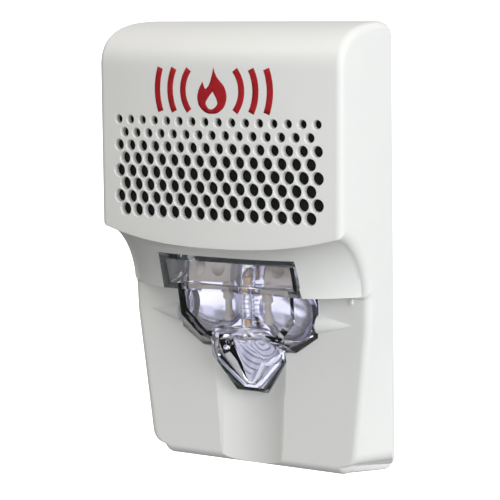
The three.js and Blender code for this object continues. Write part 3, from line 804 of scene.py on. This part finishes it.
def studio():
    """Even light from all round and a pale floor that lights nothing."""
    scene = bpy.context.scene
    scene.view_settings.view_transform = "Standard"
    world = bpy.data.worlds.new("studio")
    scene.world = world
    world.use_nodes = True
    nodes, links = world.node_tree.nodes, world.node_tree.links
    background = nodes["Background"]
    background.inputs["Color"].default_value = (1, 1, 1, 1)
    coordinates = nodes.new("ShaderNodeTexCoord")
    slope = nodes.new("ShaderNodeVectorMath")
    slope.operation = "DOT_PRODUCT"
    slope.inputs[1].default_value = WORLD_SLOPE
    level = nodes.new("ShaderNodeMath")
    level.inputs[1].default_value = WORLD_LEVEL
    links.new(coordinates.outputs["Generated"], slope.inputs[0])
    links.new(slope.outputs["Value"], level.inputs[0])
    links.new(level.outputs["Value"], background.inputs["Strength"])

    floor_bm = bmesh.new()
    bmesh.ops.create_grid(floor_bm, x_segments=1, y_segments=1, size=30)
    floor = new_object("floor", floor_bm)
    floor.location.z = -0.25
    pale = new_material("pale_floor", (0.9, 0.9, 0.9), 0.9, Emission_Strength=1.1)
    pale.node_tree.nodes["Principled BSDF"].inputs["Emission Color"].default_value = (1, 1, 1, 1)
    paint(floor, pale)
    floor.visible_diffuse = False
    floor.visible_glossy = False


def soft_light(name, place, aim, size, power, color=(1, 1, 1)):
    """A square area light; place and aim are in metres."""
    light = bpy.data.lights.new(name, "AREA")
    light.size = size
    light.energy = power
    light.color = color
    obj = bpy.data.objects.new(name, light)
    bpy.context.scene.collection.objects.link(obj)
    obj.location = place
    obj.rotation_euler = (Vector(aim) - Vector(place)).to_track_quat("-Z", "Y").to_euler()


def photo_camera():
    """Turned to the right side, looking slightly down, with a small roll."""
    turn, tilt, roll = 0.512, 0.163, -0.0213
    place = (0.2191, -0.4018, 0.07305)
    camera = bpy.data.cameras.new("camera")
    camera.lens = 127.8
    camera.sensor_width = 36
    obj = bpy.data.objects.new("camera", camera)
    bpy.context.scene.collection.objects.link(obj)
    heading = Matrix.Rotation(turn, 4, "Z")
    pitch = Matrix.Rotation(math.pi / 2 - tilt, 4, "X")
    obj.matrix_world = Matrix.Translation(place) @ heading @ pitch @ Matrix.Rotation(roll, 4, "Z")
    bpy.context.scene.camera = obj


# Colour, roughness and metallic value of each slot that needs no material of its own kind.
PLAIN_SLOTS = {
    "black_moulding": ((0.02, 0.02, 0.022), 0.45, 0),
    "black_cloth": ((0.008, 0.008, 0.009), 0.95, 0),
    "plated_steel": ((0.6, 0.61, 0.63), 0.3, 1),
    "brass_sheet": ((0.75, 0.52, 0.25), 0.3, 1),
    "ceramic": ((0.75, 0.72, 0.66), 0.4, 0),
    "rubber_foam": ((0.02, 0.02, 0.022), 0.9, 0),
    "green_board": ((0.008, 0.06, 0.026), 0.35, 0),
    "green_terminal": ((0.03, 0.28, 0.13), 0.45, 0),
    "capacitor_sleeve": ((0.02, 0.03, 0.09), 0.35, 0),
    "transformer_tape": ((0.65, 0.5, 0.1), 0.5, 0),
    "ferrite": ((0.04, 0.04, 0.042), 0.6, 0),
    "copper_wire": ((0.72, 0.3, 0.12), 0.35, 1),
}
REPLACED = {"front_cover", "lens", "reflector", "flash_tube"}


def place_camera_and_light():
    photo_camera()
    studio()
    soft_light("key", (1.1, -0.5, 0.3), (0, 0, 0), 0.7, 7.6, (0.93, 0.99, 1.0))
    soft_light("front", (0.25, -1.2, 0.35), (0, 0, 0), 0.7, 0.8)
    soft_light("top", (-0.35, -0.5, 1.0), (0, 0, 0), 0.7, 2.2, (1.0, 0.9, 0.75))


def place_cover(white):
    red = plain_material("red_print", (0.38, 0.012, 0.018), 0.6, Specular_IOR_Level=0.2)
    finish_piece(build_cover(), white, "cover", ["front_cover"])
    finish_piece(build_marks(), red, "cover")


def place_strobe():
    clear = clear_material("clear_moulding", (0.93, 0.93, 0.985), 1.58)
    glass = clear_material("tube_glass", (0.98, 0.98, 1.0), 1.47)
    satin = plain_material("satin_metallised", (0.40, 0.40, 0.48), 0.38, Metallic=1.0)
    cream = plain_material("cream_moulding", (0.50, 0.45, 0.39), 0.4)
    amber = plain_material("electrode_metal", (0.45, 0.26, 0.10), 0.35, Metallic=1.0)
    nickel = plain_material("nickel_wire", (0.55, 0.55, 0.57), 0.25, Metallic=1.0)
    finish_piece(build_lens(), clear, "base", ["lens"])
    finish_piece(build_reflector(), bright_metallised(), "base", ["reflector"])
    finish_piece(build_tube(), glass, "base", ["flash_tube"])
    finish_piece(beak_ribs(), satin, "base")
    for side in (-1, 1):
        finish_piece(tube_holder(side), cream, "base")
    for electrode in electrodes():
        finish_piece(electrode, amber, "base")
    finish_piece(trigger_wire(), nickel, "base")


def repaint_packed_nodes(white):
    slots = {
        name: plain_material(name, color, roughness, Metallic=metallic)
        for name, (color, roughness, metallic) in PLAIN_SLOTS.items()
    }
    slots["white_moulding"] = white
    for entry in frame["record"]["subparts"]:
        if entry["node"] not in REPLACED:
            repaint_node(entry["node"], slots[entry["material_slot"]])


place_camera_and_light()
white_plastic = white_moulding()
place_cover(white_plastic)
place_strobe()
repaint_packed_nodes(white_plastic)
